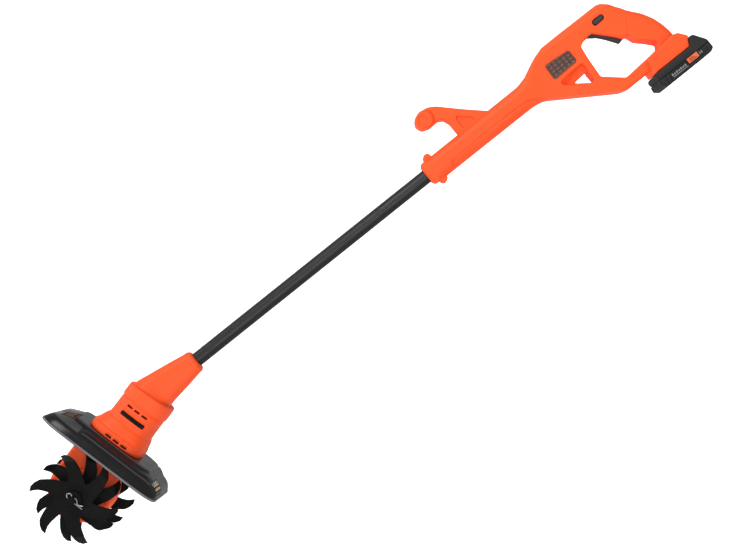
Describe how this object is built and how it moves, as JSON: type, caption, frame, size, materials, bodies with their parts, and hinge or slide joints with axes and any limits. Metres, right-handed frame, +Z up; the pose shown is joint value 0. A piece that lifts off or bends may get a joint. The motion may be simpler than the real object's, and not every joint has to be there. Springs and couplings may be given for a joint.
{
  "type": "battery garden tiller",
  "caption": "Hand-held battery garden tiller: hooked tube handle with a D-shaped rear grip, two-part tube, motor head, guard and bladed tine wheels on one shaft.",
  "frame": {"origin": "middle of the rear grip, where the hand that pulls the trigger holds it", "axes": "+Z up with the guard level, +Y forward away from the user, X across the tool along the tine shaft, with the middle plane at X = 0"},
  "size_m": [0.192, 0.476, 1.1995],
  "materials": {
    "orange_shell": "moulded orange plastic, satin",
    "black_plastic": "black moulded plastic",
    "grey_plastic": "grey moulded plastic",
    "trigger_plastic": "black moulded plastic",
    "label": "printed plate",
    "tube_black": "black powder coat",
    "tine_steel": "black coated steel",
    "screw_steel": "blackened steel",
    "plated_steel": "zinc plated",
    "gear_steel": "machined steel",
    "motor_steel": "plated steel",
    "bronze": "sintered bronze",
    "copper": "copper windings",
    "guard_plastic": "glossy black plastic",
    "pack_plastic": "dark grey plastic",
    "cell_wrap": "shrink wrap",
    "board": "circuit board",
    "label_light": "printed sticker"
  },
  "bodies": {
    "tool": {"handle_shell_left": "orange_shell", "handle_shell_right": "orange_shell", "handle_screws": "screw_steel", "cross_grip": "orange_shell", "cross_cap_left": "orange_shell", "cross_cap_right": "orange_shell", "plate_left": "label", "plate_right": "label", "lock_bezel": "black_plastic", "trigger_pin": "gear_steel", "trigger_spring": "plated_steel", "switch_module": "black_plastic", "control_board": "board", "terminal_block": "black_plastic", "power_lead": "black_plastic", "upper_tube": "tube_black", "lower_tube": "tube_black", "snap_spring": "gear_steel", "motor_shell_left": "orange_shell", "motor_shell_right": "orange_shell", "motor_screws": "screw_steel", "intake_grille_left": "black_plastic", "intake_grille_right": "black_plastic", "motor_can": "motor_steel", "motor_cap": "black_plastic", "gearbox_cover": "motor_steel", "ring_gear": "gear_steel", "output_bearing": "motor_steel", "gearbox_plate": "motor_steel", "gear_case_left": "orange_shell", "gear_case_right": "orange_shell", "gear_case_screws": "screw_steel", "bushings": "bronze", "guard": "guard_plastic", "guard_plate_front": "label", "guard_plate_rear": "label_light", "guard_screws": "screw_steel"},
    "pack": {"pack_cover": "pack_plastic", "pack_tub": "pack_plastic", "pack_cells": "cell_wrap", "pack_label": "label_light"},
    "pack_latch": {"pack_latch": "orange_shell"},
    "trigger": {"trigger": "trigger_plastic"},
    "lock_button": {"lock_button": "grey_plastic"},
    "snap_button": {"snap_button": "plated_steel"},
    "motor": {"motor_shaft": "gear_steel", "armature": "copper", "fan": "black_plastic"},
    "planet_a": {"planet_a": "gear_steel"},
    "planet_b": {"planet_b": "gear_steel"},
    "planet_c": {"planet_c": "gear_steel"},
    "gear_output": {"carrier": "gear_steel", "output_shaft": "gear_steel"},
    "tines": {"face_gear": "gear_steel", "tine_shaft": "gear_steel", "tine_outer_left": "tine_steel", "tine_inner_left": "tine_steel", "tine_inner_right": "tine_steel", "tine_outer_right": "tine_steel", "hitch_pins": "plated_steel"}
  },
  "joints": [
    {"name": "trigger_pull", "type": "hinge", "parent": "tool", "child": "trigger", "pos_m": [0, 0.04865, -0.06081], "axis": [-1, 0, 0], "range_deg": [0, 7], "stiffness_Nm_per_rad": 0.35, "springref_deg": -14.32},
    {"name": "lock_press", "type": "slide", "parent": "tool", "child": "lock_button", "axis": [1, 0, 0], "range_m": [0, 0.0022], "stiffness_N_per_m": 300, "springref_m": -0.002},
    {"name": "pack_slide", "type": "slide", "parent": "tool", "child": "pack", "axis": [0, -0.2487, 0.9686], "range_m": [0, 0.12]},
    {"name": "latch_press", "type": "slide", "parent": "pack", "child": "pack_latch", "axis": [0, -0.6896, -0.7242], "range_m": [0, 0.001], "stiffness_N_per_m": 400, "springref_m": -0.002},
    {"name": "snap_press", "type": "slide", "parent": "tool", "child": "snap_button", "axis": [1, 0, 0], "range_m": [0, 0.0018], "stiffness_N_per_m": 500, "springref_m": -0.002},
    {"name": "tine_spin", "type": "hinge", "parent": "tool", "child": "tines", "pos_m": [0, 0.2458, -1.09744], "axis": [1, 0, 0], "continuous": true},
    {"name": "motor_spin", "type": "hinge", "parent": "tool", "child": "motor", "pos_m": [0, 0.2458, -0.95044], "axis": [0, 0, 1], "continuous": true},
    {"name": "output_spin", "type": "hinge", "parent": "tool", "child": "gear_output", "pos_m": [0, 0.2458, -0.99044], "axis": [0, 0, 1], "continuous": true},
    {"name": "planet_a_spin", "type": "hinge", "parent": "gear_output", "child": "planet_a", "pos_m": [0.0165, 0.2458, -0.98144], "axis": [0, 0, 1], "continuous": true},
    {"name": "planet_b_spin", "type": "hinge", "parent": "gear_output", "child": "planet_b", "pos_m": [-0.00825, 0.2601, -0.98144], "axis": [0, 0, 1], "continuous": true},
    {"name": "planet_c_spin", "type": "hinge", "parent": "gear_output", "child": "planet_c", "pos_m": [-0.00825, 0.23152, -0.98144], "axis": [0, 0, 1], "continuous": true}
  ],
  "couplings": [
    {"joint": "motor_spin", "follows": "tine_spin", "ratio": 20},
    {"joint": "output_spin", "follows": "tine_spin", "ratio": 4},
    {"joint": "planet_a_spin", "follows": "tine_spin", "ratio": -10.667},
    {"joint": "planet_b_spin", "follows": "tine_spin", "ratio": -10.667},
    {"joint": "planet_c_spin", "follows": "tine_spin", "ratio": -10.667}
  ]
}
